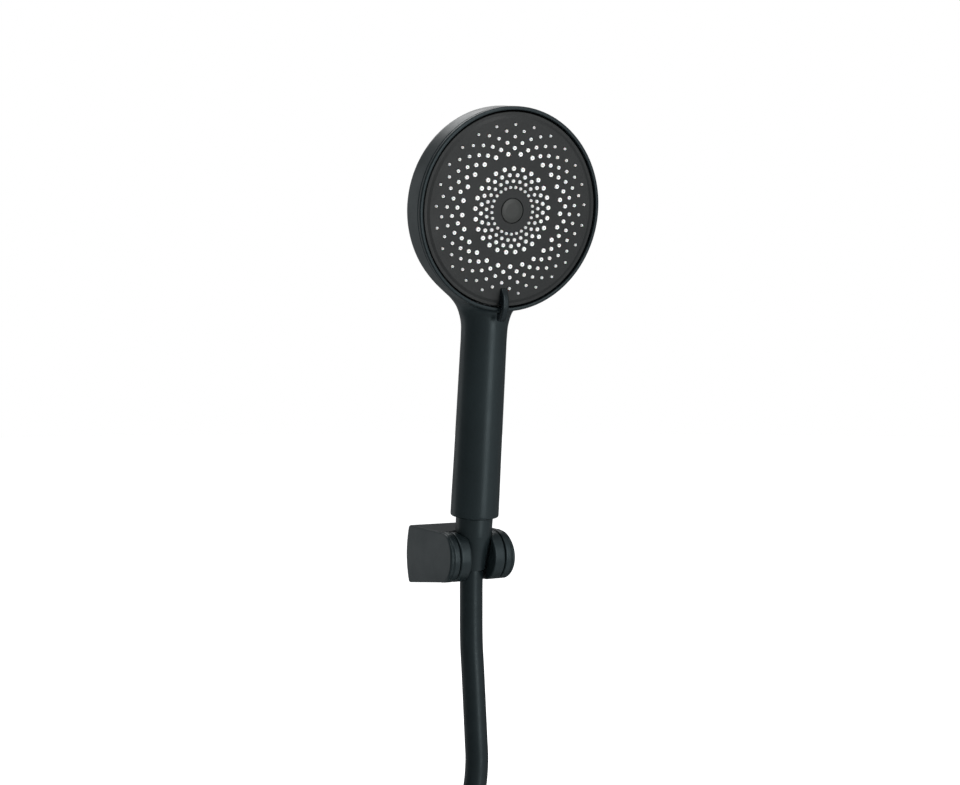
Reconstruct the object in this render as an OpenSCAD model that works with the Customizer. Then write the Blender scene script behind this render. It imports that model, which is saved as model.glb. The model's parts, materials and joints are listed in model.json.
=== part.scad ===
// Handheld shower head with a rotating spray face, a fixed wall bracket with a
// tilting cone cradle, and a smooth shower hose whose spare length is coiled.
//
// Frame: origin at the middle of the bracket's wall face, +Y into the wall,
// +Z up, everything symmetric about the plane x = 0. Millimetres.

/* [Spray head] */
// Outer diameter of the head
head_d = 121; // [110:1:130]
// Depth of the head's straight side wall, measured from the face
head_wall_depth = 19.5; // [18:0.5:22]
// Depth of the head at the middle of its domed back
head_depth = 34.5; // [33:0.5:36]
// Wall thickness of the moulded shell
shell_wall = 2.2; // [2:0.1:2.6]
// Angle between the spray face and the handle
face_tilt = 6.64; // [4:0.1:9]
// Distance from the handle's axis forward to the spray face
face_forward = 27.4; // [26:0.1:29]
// Height of the face centre above the cradle's pivot, along the handle
face_height = 215.05; // [205:1:225]

/* [Nozzles] */
// Nozzles in each ring
nozzles_per_ring = 25; // [20:1:26]
// Radii of the four inner rings
inner_rings = [13.8, 17.4, 21.0, 24.7];
// Radii of the six outer rings
outer_rings = [33.2, 36.5, 39.8, 43.1, 46.5, 50.0];
// Radius of the widest nozzle tip
nozzle_r_max = 1.5; // [1.2:0.1:1.6]
// Gap between a nozzle and its hole in the face plate
nozzle_gap = 0.2; // [0.1:0.05:0.3]

/* [Handle] */
// Diameter of the handle at its lower end
handle_d_low = 30.4; // [29:0.1:32]
// Diameter of the handle below the neck
handle_d_high = 28.7; // [28:0.1:30]
// Height of the handle's lower end above the pivot
handle_low = 25.8; // [25:0.1:28]
// Diameter of the handle's bore
handle_bore_d = 23.8; // [23:0.1:24.4]

/* [Mode lever] */
// Thickness of the lever's blade
lever_w = 4.2; // [3.6:0.1:4.4]
// How far the lever stands in front of the face
lever_rise = 5.6; // [5:0.1:6.2]
// Angle between two spray modes
mode_step = 25; // [20:1:28]

/* [Inlet] */
// Outside diameter of the G1/2 inlet thread
inlet_thread_d = 20.96; // [20.9:0.01:21]
// Length of the inlet thread
inlet_thread_length = 12.5; // [11:0.5:12.5]

/* [Conical hose nut] */
// Height of the nut's top edge above the pivot
nut_top = 25.3; // [25:0.1:25.5]
// Height where the nut's taper starts
nut_taper_top = 14; // [13:0.5:15]
// Height of the nut's lower end (below the pivot is negative)
nut_low = -8; // [-9:0.5:-7]
// Diameter of the nut at its top edge
nut_d_top = 23.4; // [23.2:0.1:24]
// Diameter of the nut where the taper starts
nut_d_taper = 22.9; // [22.8:0.1:23.4]
// Diameter of the nut at its lower end
nut_d_low = 16.7; // [16.6:0.1:17.2]

/* [Bracket] */
// Distance of the cradle's pivot from the wall
pivot_from_wall = 50; // [48:0.5:52]
// Height of the cradle's pivot above the middle of the wall face
pivot_up = 3.4; // [2:0.1:4]
// Forward lean of the handle at rest
handset_lean = 6.34; // [5:0.1:8]
// Diameter of the cradle drum
drum_d = 31; // [30:0.5:32]
// Length of the cradle drum
drum_length = 31; // [30:0.5:32]
// Width of the cradle's hose slot
slot_w = 16.4; // [16:0.1:17]
// Width of the base at mid height
base_w_mid = 45.6; // [45:0.2:47]
// Width of the base at its top and bottom edges
base_w_edge = 42; // [41:0.2:43]
// Height of the base's wall face
base_h = 38; // [37:0.5:40]
// Distance between the two wall screws
wall_screw_spacing = 22; // [20:1:24]

/* [Hose] */
// Outside diameter of the hose
hose_d = 14.5; // [14:0.1:14.6]
// Radius of the coil at the middle of its turns
coil_r = 86; // [80:1:87]

/* [Hidden] */
$fn = 96;

black = [0.16, 0.18, 0.19];
soft_black = [0.12, 0.14, 0.15];
white = [0.93, 0.94, 0.93];
steel = [0.72, 0.73, 0.75];
tube_grey = [0.62, 0.64, 0.66];
rubber = [0.08, 0.08, 0.09];

// Small gaps: a shaft in its bore, and a bore that takes a press fit
running = 0.05;
snug = 0.02;
// How far a cut runs past the surface that it opens
past = 1;

head_r = head_d / 2;
handle_r_low = handle_d_low / 2;
handle_r_high = handle_d_high / 2;
handle_bore_r = handle_bore_d / 2;
drum_r = drum_d / 2;

// Depths behind the face, along the face's axis
plate_t = 3;
mat_t = 1.2;
chamber_front = plate_t + mat_t;
chamber_back = 12;
disc_back = 15;
seat_front = 15.4;
seat_back = 19.4;
pivot_front = 5.4;
nozzle_proud = 0.3;
rim_front = -0.6;
shell_front = 2;

// Radii about the face's axis
plate_r = head_r - 3.1;
rim_in_r = head_r - 2.2;
chamber_r = plate_r - 2.6;
pivot_r = 4;
cap_r = 7.5;
port_ring_r = 17;
port_r = 3.3;
detent_ring_r = 21;
seat_r = 27;
seat_screw_ring_r = 30;

// ---- Frames ---------------------------------------------------------------

// The handset's own frame: origin at the cradle's pivot, +Z up the handle
module in_handset() {
    translate([0, -pivot_from_wall, pivot_up]) rotate([handset_lean, 0, 0]) children();
}

// The face's frame: origin at the face centre, +Z into the head, +Y down the face
module on_face() {
    in_handset()
        translate([0, -face_forward, face_height])
            rotate([face_tilt - 90, 0, 0]) children();
}

// A ring of rectangular section about the Z axis
module ring(r_in, r_out, low, high) {
    translate([0, 0, low])
        difference() {
            cylinder(r = r_out, h = high - low);
            translate([0, 0, -past]) cylinder(r = r_in, h = high - low + 2 * past);
        }
}

// A disc about the Z axis between two heights
module disc(r, low, high) {
    translate([0, 0, low]) cylinder(r = r, h = high - low);
}

// A torus about the Z axis
module torus(r_mid, r_wire, height) {
    translate([0, 0, height])
        rotate_extrude() translate([r_mid, 0]) circle(r = r_wire, $fn = 32);
}

// Puts its child on the face at a clockwise angle from the top and a radius
module at_clock(angle, r) {
    translate([r * sin(angle), -r * cos(angle), 0]) children();
}

// ---- Nozzle pattern -------------------------------------------------------

ring_radii = concat(inner_rings, outer_rings);
ring_pitch = 360 / nozzles_per_ring;
// Rings 0, 2, 4... start this far clockwise from the top, the others half a pitch before
phase_even = 2.5;
inner_growth = 0.167;
outer_shrink = 0.12;

// Tip radius of the nozzles in ring i: widening outwards, then narrowing
function tip_r(i) =
    i < len(inner_rings)
        ? nozzle_r_max - inner_growth * (len(inner_rings) - 1 - i)
        : nozzle_r_max - outer_shrink * (i - len(inner_rings));

function ring_phase(i) = i % 2 == 0 ? phase_even : phase_even - ring_pitch / 2;

// The lever takes the place of one nozzle in the last ring, at six o'clock
function is_under_lever(i, angle) =
    i == len(ring_radii) - 1 && abs(angle - 180) < ring_pitch / 3;

// [x, y, tip radius] of every nozzle on the face
nozzles = [
    for (i = [0:len(ring_radii) - 1], k = [0:nozzles_per_ring - 1])
        let (angle = ring_phase(i) + k * ring_pitch)
            if (!is_under_lever(i, angle))
                [ring_radii[i] * sin(angle), -ring_radii[i] * cos(angle), tip_r(i)]
];

// ---- Bracket --------------------------------------------------------------

ear_gap = 0.5;
ear_in_x = drum_length / 2 + ear_gap;
trunnion_r = 5;
trunnion_length = 3;
drum_gap = 0.6;
plate_w = 34;
plate_h = 26;
wall_plate_t = 3;
base_pocket = 9;
lug_w = 10;
lug_low = -12.8;
grub_y = -6.5;
grub_r = 1.5;
// The cut for the nut starts this far above the pivot and clears the nut by this much
nut_room_low = 9;
nut_room = 0.8;
// The cut for the hose goes back this far from the pivot, up to this height
hose_room = 20.6;
hose_room_top = -3;

// Side form of the base: flat top, round front, underside rising forwards. It is
// wider than the base, whose sides the barrel below cuts.
module base_side_form() {
    width = base_w_mid + 2 * past;
    translate([-width / 2, 0, 0]) rotate([90, 0, 90])
        linear_extrude(height = width)
            polygon([
                [0, -base_h / 2], [0, base_h / 2 - 0.1],
                [-pivot_from_wall, pivot_up + drum_r], [-pivot_from_wall, pivot_up - drum_r],
            ]);
    translate([-width / 2, -pivot_from_wall, pivot_up]) rotate([0, 90, 0])
        cylinder(r = drum_r, h = width);
}

// Seen from the front the base is a barrel, widest at mid height
bulge = (base_w_mid - base_w_edge) / 2;
barrel_r = (pow(base_h / 2, 2) + bulge * bulge) / (2 * bulge);

module base_barrel() {
    reach = pivot_from_wall + drum_r;
    intersection() {
        translate([barrel_r - base_w_mid / 2, 0, 0]) rotate([90, 0, 0])
            translate([0, 0, -past]) cylinder(r = barrel_r, h = reach + 2 * past, $fn = 400);
        translate([base_w_mid / 2 - barrel_r, 0, 0]) rotate([90, 0, 0])
            translate([0, 0, -past]) cylinder(r = barrel_r, h = reach + 2 * past, $fn = 400);
    }
}

module bracket_base() {
    reach = pivot_from_wall + drum_r;
    color(black)
    difference() {
        intersection() {
            base_side_form();
            base_barrel();
        }
        // Room for the drum between the ears
        translate([-ear_in_x, -pivot_from_wall, pivot_up]) rotate([0, 90, 0])
            cylinder(r = drum_r + drum_gap, h = 2 * ear_in_x);
        translate([-ear_in_x, -reach - past, -base_h])
            cube([2 * ear_in_x, reach - pivot_from_wall + past, 2 * base_h]);
        // Room behind the nut, and for the hose as it swings back under the drum
        translate([0, -pivot_from_wall, pivot_up + nut_room_low])
            cylinder(r = nut_d_top / 2 + nut_room, h = base_h);
        translate([-slot_w / 2 - drum_gap, -pivot_from_wall, -base_h])
            cube([slot_w + 2 * drum_gap, hose_room, base_h + hose_room_top]);
        // Sockets for the drum's trunnions
        translate([-ear_in_x - trunnion_length, -pivot_from_wall, pivot_up])
            rotate([0, 90, 0])
                cylinder(r = trunnion_r + running, h = 2 * (ear_in_x + trunnion_length));
        // Pocket that hides the wall plate
        translate([-plate_w / 2 - running, -base_pocket, -plate_h / 2 - running])
            cube([plate_w + 2 * running, base_pocket + past, plate_h + 2 * running]);
        // Hole for the grub screw
        translate([0, grub_y, -base_h]) cylinder(r = grub_r + snug, h = base_h);
    }
}

screw_hole_r = 2.3;

module wall_plate() {
    color(steel)
    difference() {
        union() {
            translate([-plate_w / 2, -wall_plate_t, -plate_h / 2])
                cube([plate_w, wall_plate_t, plate_h]);
            translate([-lug_w / 2, -base_pocket + running, lug_low])
                cube([lug_w, base_pocket - wall_plate_t, 8]);
        }
        // Holes for the two wall screws
        for (side = [-1, 1])
            translate([side * wall_screw_spacing / 2, 0, 0]) rotate([-90, 0, 0])
                disc(screw_hole_r, -2 * wall_plate_t, past);
    }
}

module grub_screw() {
    color(steel)
    difference() {
        translate([0, grub_y, lug_low - 4.8]) cylinder(r = grub_r, h = 4.8);
        translate([0, grub_y, lug_low - 4.8 - past])
            cylinder(r = 0.8, h = 2 + past, $fn = 6);
    }
}

module friction_washers() {
    color(rubber)
    for (side = [0, 1])
        mirror([side, 0, 0])
            translate([drum_length / 2 + 0.06, -pivot_from_wall, pivot_up])
                rotate([0, 90, 0]) ring(trunnion_r + 0.3, 13, 0, ear_gap - 0.1);
}

// ---- Cradle ---------------------------------------------------------------

cone_gap = 0.1;
cradle_low_r = 8.5;

module cradle() {
    taper_r = nut_d_taper / 2 + cone_gap;
    color(black)
    in_handset()
        difference() {
            rotate([0, 90, 0])
                union() {
                    translate([0, 0, -drum_length / 2])
                        cylinder(r = drum_r, h = drum_length);
                    translate([0, 0, -drum_length / 2 - trunnion_length])
                        cylinder(r = trunnion_r, h = drum_length + 2 * trunnion_length);
                }
            // Tapered seat for the conical nut
            translate([0, 0, nut_low])
                cylinder(r1 = nut_d_low / 2 + cone_gap, r2 = taper_r,
                         h = nut_taper_top - nut_low);
            disc(nut_d_top / 2 + cone_gap, nut_taper_top, drum_r + past);
            disc(cradle_low_r, -drum_r - past, nut_low);
            // Slot that lets the hose in and out
            translate([-slot_w / 2, -drum_r - past, -drum_r - past])
                cube([slot_w, drum_r + past, 2 * (drum_r + past)]);
        }
}

// ---- Handset shell --------------------------------------------------------

edge_r = 2.5;
dome_rim_r = head_r - edge_r;
dome_rim_depth = head_wall_depth + edge_r - 0.4;
dome_rise = head_depth - dome_rim_depth;
dome_r = (dome_rim_r * dome_rim_r + dome_rise * dome_rise) / (2 * dome_rise);

// Points of the domed back from its rim to the axis, [radius, depth]
function dome(inset, steps) = [
    for (i = [0:steps])
        let (r = (dome_rim_r - inset) * (1 - i / steps))
            [r, head_depth - inset - dome_r + sqrt(dome_r * dome_r - r * r)]
];

// Cross-sections of the handle and neck, upwards: [height, half width, front, back]
neck = [
    [139, 14.35, -14.35, 14.35],
    [146, 14.8, -14.35, 14.35],
    [151, 16.2, -14.2, 14.3],
    [156, 18.6, -13.8, 14.1],
    [161, 22.4, -13.0, 13.8],
    [166, 26.2, -12.0, 13.3],
    [172, 29.2, -11.2, 12.6],
    [180, 29.0, -11.0, 11.4],
    [190, 25.0, -11.4, 9.8],
    [200, 18.0, -12.0, 7.8],
    [210, 9.0, -12.0, 5.2],
];
grip = [
    [handle_low, handle_r_low - 0.5, 0.5 - handle_r_low, handle_r_low - 0.5],
    [handle_low + 0.5, handle_r_low, -handle_r_low, handle_r_low],
    [handle_low + 40, handle_r_low - 0.35, 0.35 - handle_r_low, handle_r_low - 0.35],
    [handle_low + 80, handle_r_low - 0.65, 0.65 - handle_r_low, handle_r_low - 0.65],
];
neck_sides = 48;

// One closed form through the given cross-sections, drawn in by an inset
module section_form(sections, inset) {
    last = len(sections) - 1;
    points = [
        for (i = [0:last], k = [0:neck_sides - 1])
            let (
                s = sections[i],
                a = s[1] - inset,
                b = (s[3] - s[2]) / 2 - inset,
                mid = (s[3] + s[2]) / 2,
                angle = 360 * k / neck_sides,
                h = s[0] - (i == last ? 2 * inset : 0)
            )
                [a * cos(angle), mid + b * sin(angle), h]
    ];
    walls = [
        for (i = [0:last - 1], k = [0:neck_sides - 1])
            let (
                here = i * neck_sides,
                up = here + neck_sides,
                k2 = (k + 1) % neck_sides
            )
                each [[here + k, up + k, up + k2], [here + k, up + k2, here + k2]]
    ];
    floor_cap = [for (k = [0:neck_sides - 1]) k];
    roof_cap = [for (k = [neck_sides - 1:-1:0]) last * neck_sides + k];
    polyhedron(points = points, faces = concat([floor_cap], walls, [roof_cap]),
               convexity = 4);
}

// Outside of the head, turned about the face's axis
module head_outside() {
    rotate_extrude()
        polygon(concat(
            [[0, shell_front], [head_r, shell_front], [head_r, head_wall_depth - 1.6],
             [head_r - 0.4, head_wall_depth + 0.2], [head_r - 1.2, head_wall_depth + 1.4]],
            dome(0, 14)
        ));
}

// Space inside the head
module head_inside() {
    rotate_extrude()
        polygon(concat(
            [[0, -past], [rim_in_r, -past], [rim_in_r, head_wall_depth - 1.5]],
            dome(shell_wall, 12)
        ));
}

module body_shell() {
    boss_r = 4;
    color(black)
    difference() {
        union() {
            difference() {
                union() {
                    on_face() head_outside();
                    in_handset() section_form(concat(grip, neck), 0);
                }
                on_face() head_inside();
                in_handset() section_form(neck, shell_wall - 0.15);
                in_handset() disc(handle_bore_r, handle_low - past, 140);
            }
            // Bosses for the screws of the diverter seat
            on_face()
                for (angle = [0, 120, 240])
                    at_clock(angle, seat_screw_ring_r)
                        disc(boss_r, seat_back, 30.5);
        }
        // Screw holes in the bosses
        on_face()
            for (angle = [0, 120, 240])
                at_clock(angle, seat_screw_ring_r) disc(1.4, seat_back - past, 27.5);
    }
}

module rim_ring() {
    color(soft_black)
    on_face()
        rotate_extrude()
            polygon([
                [rim_in_r, shell_front - 0.02], [rim_in_r, rim_front + 0.4],
                [rim_in_r + 0.4, rim_front], [head_r - 0.7, rim_front],
                [head_r - 0.2, rim_front + 0.2], [head_r, rim_front + 0.7],
                [head_r, shell_front - 0.02],
            ]);
}

// ---- Rotating spray face --------------------------------------------------

hub_r = 8.3;
hub_floor_front = 5.5;
hub_floor_back = 7.5;
head_pocket_r = 5.7;
cap_seat = 1.5;
lever_root_in = 46.4;
lever_root_out = 56.4;
lever_root_depth = 1.8;
skirt_t = 2.2;
skirt_back = 9;
dish_r = 53.8;
dish_depth = 0.5;

module face_plate() {
    color(black)
    on_face()
        difference() {
            rotate_extrude()
                polygon([
                    [0, 0], [dish_r, 0], [dish_r + 1.7, dish_depth],
                    [plate_r - 0.3, dish_depth], [plate_r, dish_depth + 0.3],
                    [plate_r, skirt_back], [plate_r - skirt_t, skirt_back],
                    [plate_r - skirt_t, plate_t], [hub_r, plate_t],
                    [hub_r, hub_floor_back], [0, hub_floor_back],
                ]);
            disc(cap_r + 0.15, -past, cap_seat);
            disc(head_pocket_r, cap_seat - past, hub_floor_front);
            disc(pivot_r + running, hub_floor_front - past, hub_floor_back + past);
            for (n = nozzles)
                translate([n[0], n[1], -past])
                    cylinder(r = n[2] + nozzle_gap, h = plate_t + 2 * past, $fn = 24);
            // Seat of the mode lever
            translate([-lever_w / 2 - snug, lever_root_in - snug, -past])
                cube([lever_w + 2 * snug, lever_root_out - lever_root_in + 2 * snug,
                      lever_root_depth + past]);
        }
}

module nozzle_mat() {
    tip_bore_r = 0.35;
    color(white)
    on_face()
        difference() {
            union() {
                ring(9, chamber_r - 0.2, plate_t, chamber_front);
                for (n = nozzles)
                    translate([n[0], n[1], -nozzle_proud])
                        cylinder(r = n[2], h = plate_t + nozzle_proud + 0.6, $fn = 24);
            }
            for (n = nozzles)
                translate([n[0], n[1], -past])
                    cylinder(r = tip_bore_r, h = chamber_front + 2 * past, $fn = 16);
        }
}

module spray_chamber() {
    back = chamber_back - 2;
    color(tube_grey)
    on_face()
        difference() {
            rotate_extrude()
                polygon([
                    [pivot_r + running, hub_floor_back + 0.02], [hub_r + 0.1, hub_floor_back + 0.02],
                    [hub_r + 0.1, chamber_front], [11.3, chamber_front], [11.3, back],
                    [26.8, back], [26.8, chamber_front], [29.6, chamber_front],
                    [29.6, back], [chamber_r - 2, back], [chamber_r - 2, chamber_front],
                    [chamber_r, chamber_front], [chamber_r, chamber_back],
                    [pivot_r + running, chamber_back],
                ]);
            // Groove for the hub's O-ring
            disc(6.2, chamber_back - 2.9, chamber_back - 0.7);
            // Ports into the inner and the outer chamber
            for (turn = [-1, 0])
                at_clock(180 + turn * mode_step, port_ring_r)
                    disc(port_r, back - past, chamber_back + past);
            for (turn = [0, 1])
                at_clock(180 + turn * mode_step, 33)
                    disc(port_r - 0.6, back - past, chamber_back + past);
        }
}

module hub_o_ring() {
    color(rubber)
    on_face() torus(5.1, 1, chamber_back - 1.8);
}

module diverter_disc() {
    track_r = 1.8;
    groove_t = 1.6;
    color(tube_grey)
    on_face()
        difference() {
            ring(pivot_r + running, 36, chamber_back + 0.02, disc_back);
            for (turn = [-1, 0, 1])
                at_clock(180 + turn * mode_step, port_ring_r)
                    disc(port_r, chamber_back - past, disc_back + past);
            // Grooves that lead outwards to the outer chamber's ports
            for (turn = [0, 1])
                rotate([0, 0, turn * mode_step])
                    translate([-1.6, port_ring_r, chamber_back - past])
                        cube([3.2, 17, groove_t + past]);
            // Track and notches for the detent ball
            rotate([0, 0, -90 - mode_step - 4])
                translate([0, 0, disc_back + 0.9])
                    rotate_extrude(angle = 2 * mode_step + 8)
                        translate([detent_ring_r, 0]) circle(r = track_r, $fn = 32);
            for (turn = [-1, 0, 1])
                at_clock(turn * mode_step, detent_ring_r)
                    disc(0.9, disc_back - 1.4, disc_back + past);
        }
}

module centre_cap() {
    color(black)
    on_face()
        rotate_extrude()
            polygon([
                [0, -0.25], [5, -0.22], [cap_r - 0.5, -0.1], [cap_r, 0.25],
                [cap_r, cap_seat - 0.02], [0, cap_seat - 0.02],
            ]);
}

// Side outline of the lever, [radius, depth]: low at its inner end, proud over
// the rim, with a rounded lower end
module lever_outline() {
    clear = rim_front - 0.5;
    tip_out = head_r + 6;
    outer_r = 15;
    difference() {
        union() {
            // Root, let into the face plate
            translate([lever_root_in, -0.6])
                square([lever_root_out - lever_root_in, lever_root_depth + 0.6]);
            // Crown over the rim
            intersection() {
                translate([57.5, outer_r - lever_rise]) circle(r = outer_r);
                translate([lever_root_in, -lever_rise - 1])
                    square([tip_out - lever_root_in, lever_rise + 5]);
            }
            translate([tip_out - 3.2, 1.2]) circle(r = 3.2);
        }
        // Clearance over the face plate's edge and the rim
        translate([lever_root_out, clear]) square([head_r + 0.8 - lever_root_out, 20]);
        translate([40, -0.01]) square([lever_root_in - 40, 20]);
        translate([lever_root_in, lever_root_depth]) square([20, 20]);
    }
}

module mode_lever() {
    color(soft_black)
    on_face()
        translate([-lever_w / 2, 0, 0])
            rotate([90, 0, 90])
                linear_extrude(height = lever_w) lever_outline();
}

// ---- Fixed diverter parts -------------------------------------------------

socket_low = 158;
socket_high = 172;
tube_r = 7.4;
tube_bore_r = 5;
tube_top = 170;
arm_w = 16;
arm_back = 27;
channel_r = 3.8;
channel_depth = 23.2;
seal_seat_r = 6.6;
seal_seat_back = 17;
detent_hole_r = 1.7;
detent_ball_r = 1.5;
detent_ball_depth = 15.9;

module diverter_seat() {
    color(tube_grey)
    difference() {
        union() {
            on_face() disc(seat_r, seat_front, seat_back);
            on_face() disc(pivot_r, pivot_front, seat_front + past);
            on_face()
                for (angle = [0, 120, 240])
                    at_clock(angle, seat_screw_ring_r) disc(5.5, seat_front, seat_back);
            on_face()
                translate([-arm_w / 2, 10, seat_back - past])
                    cube([arm_w, 41, arm_back - seat_back + past]);
            in_handset() disc(tube_r + 1.5, socket_low, socket_high);
        }
        // Socket for the waterway tube
        in_handset() disc(tube_r + running, socket_low - past, tube_top);
        in_handset() disc(tube_bore_r, tube_top - past, socket_high - 0.6);
        // Channel from the socket to the port
        on_face()
            translate([0, 14, channel_depth]) rotate([-90, 0, 0])
                cylinder(r = channel_r, h = 35);
        on_face() translate([0, port_ring_r, 0])
            disc(port_r + 0.6, seat_front - past, channel_depth);
        on_face() translate([0, port_ring_r, 0])
            disc(seal_seat_r, seat_front - past, seal_seat_back);
        // Screw holes with sunk heads
        on_face()
            for (angle = [0, 120, 240])
                at_clock(angle, seat_screw_ring_r) {
                    disc(1.6, seat_front - past, seat_back + past);
                    disc(3.1, seat_front - past, seat_front + 2);
                }
        // Hole for the detent ball and its spring
        on_face() translate([0, -detent_ring_r, 0])
            disc(detent_hole_r, seat_front - past, seat_back - 0.6);
        // Hole for the centre screw
        on_face() disc(1.6, pivot_front - past, 14);
    }
}

module port_seal() {
    color(rubber)
    on_face()
        translate([0, port_ring_r, 0])
            ring(port_r + 0.8, seal_seat_r - snug, disc_back + 0.08, seal_seat_back - snug);
}

module seat_screws() {
    color(steel)
    on_face()
        for (angle = [0, 120, 240])
            at_clock(angle, seat_screw_ring_r)
                difference() {
                    union() {
                        disc(2.9, seat_front + 0.1, seat_front + 2);
                        disc(1.38, seat_front + 2, 27);
                    }
                    for (turn = [0, 90])
                        translate([0, 0, seat_front]) rotate([0, 0, turn])
                            cube([3.2, 0.7, 1.8], center = true);
                }
}

module screw_washer() {
    color(steel)
    on_face() ring(1.7, 5.4, pivot_front - 0.8, pivot_front - 0.02);
}

module centre_screw() {
    head_back = pivot_front - 0.82;
    color(steel)
    on_face()
        difference() {
            union() {
                disc(4.6, head_back - 2.4, head_back);
                disc(1.58, head_back, 13.6);
            }
            for (turn = [0, 90])
                translate([0, 0, head_back - 2.4]) rotate([0, 0, turn])
                    cube([4.6, 1, 2.4], center = true);
        }
}

module detent_ball() {
    color(steel)
    on_face() translate([0, -detent_ring_r, detent_ball_depth])
        sphere(r = detent_ball_r, $fn = 48);
}

// ---- Swept forms ----------------------------------------------------------

function unit(v) = v / norm(v);

// Direction of travel at each point of a path
function headings(path) = [
    for (i = [0:len(path) - 1])
        unit(path[min(i + 1, len(path) - 1)] - path[max(i - 1, 0)])
];

// Sideways direction at a point, kept square to the path
function sideways(heading, hint) = unit(cross(hint, heading));

// A round tube along a path, with a radius for each of its points. hint is a
// direction that the path never follows.
module sweep(path, radii, sides, hint) {
    dirs = headings(path);
    last = len(path) - 1;
    points = [
        for (i = [0:last], k = [0:sides - 1])
            let (
                u = sideways(dirs[i], hint),
                v = cross(dirs[i], u),
                angle = 360 * k / sides
            )
                path[i] + radii[i] * (cos(angle) * u + sin(angle) * v)
    ];
    walls = [
        for (i = [0:last - 1], k = [0:sides - 1])
            let (
                here = i * sides,
                next = here + sides,
                k2 = (k + 1) % sides
            )
                each [[here + k, next + k, next + k2], [here + k, next + k2, here + k2]]
    ];
    start_cap = [for (k = [0:sides - 1]) k];
    end_cap = [for (k = [sides - 1:-1:0]) last * sides + k];
    polyhedron(points = points, faces = concat([start_cap], walls, [end_cap]),
               convexity = 6);
}

module detent_spring() {
    turns = 4;
    wire_r = 0.14;
    spring_r = 1.2;
    low = detent_ball_depth + detent_ball_r - 0.3;
    high = seat_back - 0.6 - wire_r;
    steps = 12;
    path = [
        for (i = [0:turns * steps])
            [spring_r * cos(360 * i / steps), spring_r * sin(360 * i / steps),
             low + wire_r + (high - low - wire_r) * i / (turns * steps)]
    ];
    color(steel)
    on_face() translate([0, -detent_ring_r, 0])
        sweep(path, [for (p = path) wire_r], 6, [0, 0, 1]);
}

// ---- Waterway -------------------------------------------------------------

flange_t = 3.7;
inlet_r = inlet_thread_d / 2;
inlet_bore_r = 7;
thread_low = handle_low - inlet_thread_length;
regulator_low = thread_low + 0.7;
regulator_high = regulator_low + 5;

module waterway_tube() {
    groove = 2;
    color(tube_grey)
    in_handset()
        difference() {
            union() {
                disc(inlet_r, thread_low, handle_low + past);
                disc(handle_bore_r - snug, handle_low + 0.02, handle_low + flange_t);
                disc(tube_r, handle_low + flange_t - past, tube_top);
            }
            disc(inlet_bore_r, thread_low - past, regulator_high);
            disc(tube_bore_r, thread_low, tube_top + past);
            ring(6, tube_r + past, 165, 165 + groove);
        }
}

module tube_o_ring() {
    color(rubber)
    in_handset() torus(6.72, 0.7, 166);
}

module flow_regulator() {
    color([0.2, 0.45, 0.7])
    in_handset()
        difference() {
            disc(inlet_bore_r - snug, regulator_low, regulator_high - 0.02);
            for (k = [0:7])
                rotate([0, 0, 45 * k]) translate([4.4, 0, 0])
                    disc(0.9, regulator_low - past, regulator_high + past);
            disc(1.6, regulator_low - past, regulator_low + 2.4);
        }
}

washer_t = 1.6;
flange_top = thread_low - washer_t - 0.1;
ferrule_flange_r = 9.45;
ferrule_flange_t = 2;
ferrule_r = 6.9;
hose_swing_r = 7.6;
shoulder = flange_top - ferrule_flange_t - 0.1;

module inlet_filter() {
    mesh_r = 5.6;
    mesh_pitch = 1.6;
    color(rubber)
    in_handset()
        union() {
            ring(mesh_r, inlet_r - 0.2, thread_low - washer_t, thread_low - snug);
            intersection() {
                disc(mesh_r + 0.2, thread_low - 1, thread_low - 0.7);
                union() {
                    for (i = [-3:3]) {
                        translate([i * mesh_pitch - 0.25, -8, thread_low - 1])
                            cube([0.5, 16, 0.3]);
                        translate([-8, i * mesh_pitch - 0.25, thread_low - 1])
                            cube([16, 0.5, 0.3]);
                    }
                }
            }
        }
}

// ---- Conical nut and the hose's upper end ---------------------------------

module cone_nut() {
    color(black)
    in_handset()
        difference() {
            rotate_extrude()
                polygon([
                    [0, nut_low], [nut_d_low / 2 - 0.3, nut_low], [nut_d_low / 2, nut_low + 0.3],
                    [nut_d_taper / 2, nut_taper_top], [nut_d_top / 2, nut_top - 0.4],
                    [nut_d_top / 2 - 0.4, nut_top], [0, nut_top],
                ]);
            disc(inlet_r + snug, flange_top, nut_top + past);
            disc(ferrule_flange_r + running, shoulder, nut_top);
            disc(hose_swing_r, nut_low - past, nut_top);
        }
}

// The hose hangs from a ball just below the nut
hang_below_nut = 2.2;
hang_height = nut_low - hang_below_nut;
ferrule_low = hang_height + hose_d / 2 + 0.4;

module hose_ferrule() {
    color(steel)
    in_handset()
        difference() {
            union() {
                disc(ferrule_flange_r, flange_top - ferrule_flange_t, flange_top);
                disc(ferrule_r, ferrule_low, flange_top - past);
            }
            disc(4.6, ferrule_low - past, flange_top + past);
        }
}

// ---- Hose -----------------------------------------------------------------

// Where the hose hangs from, in the bracket's frame
hang_point = [0, -pivot_from_wall - hang_height * sin(handset_lean),
              pivot_up + hang_height * cos(handset_lean)];

// Route of the hanging stretch, from below the nut to the start of the coil
hose_route = [
    [0, -48.5, -16], [0, -48.5, -28], [0, -48.5, -41], [0, -49, -54], [0, -50.5, -67],
    [0, -52, -81], [0, -53.5, -96], [0, -55, -111], [0, -56, -125],
    [-2.5, -56.5, -144], [-10, -57, -162.5], [-22, -57.5, -178], [-35.5, -57.5, -189],
];

coil_centre = [10, -57.5, -262];
coil_start_angle = 122;
coil_turn = 823;
coil_pitch = 15;
coil_depth = coil_pitch * coil_turn / 360;
tail_length = 70;

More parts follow.
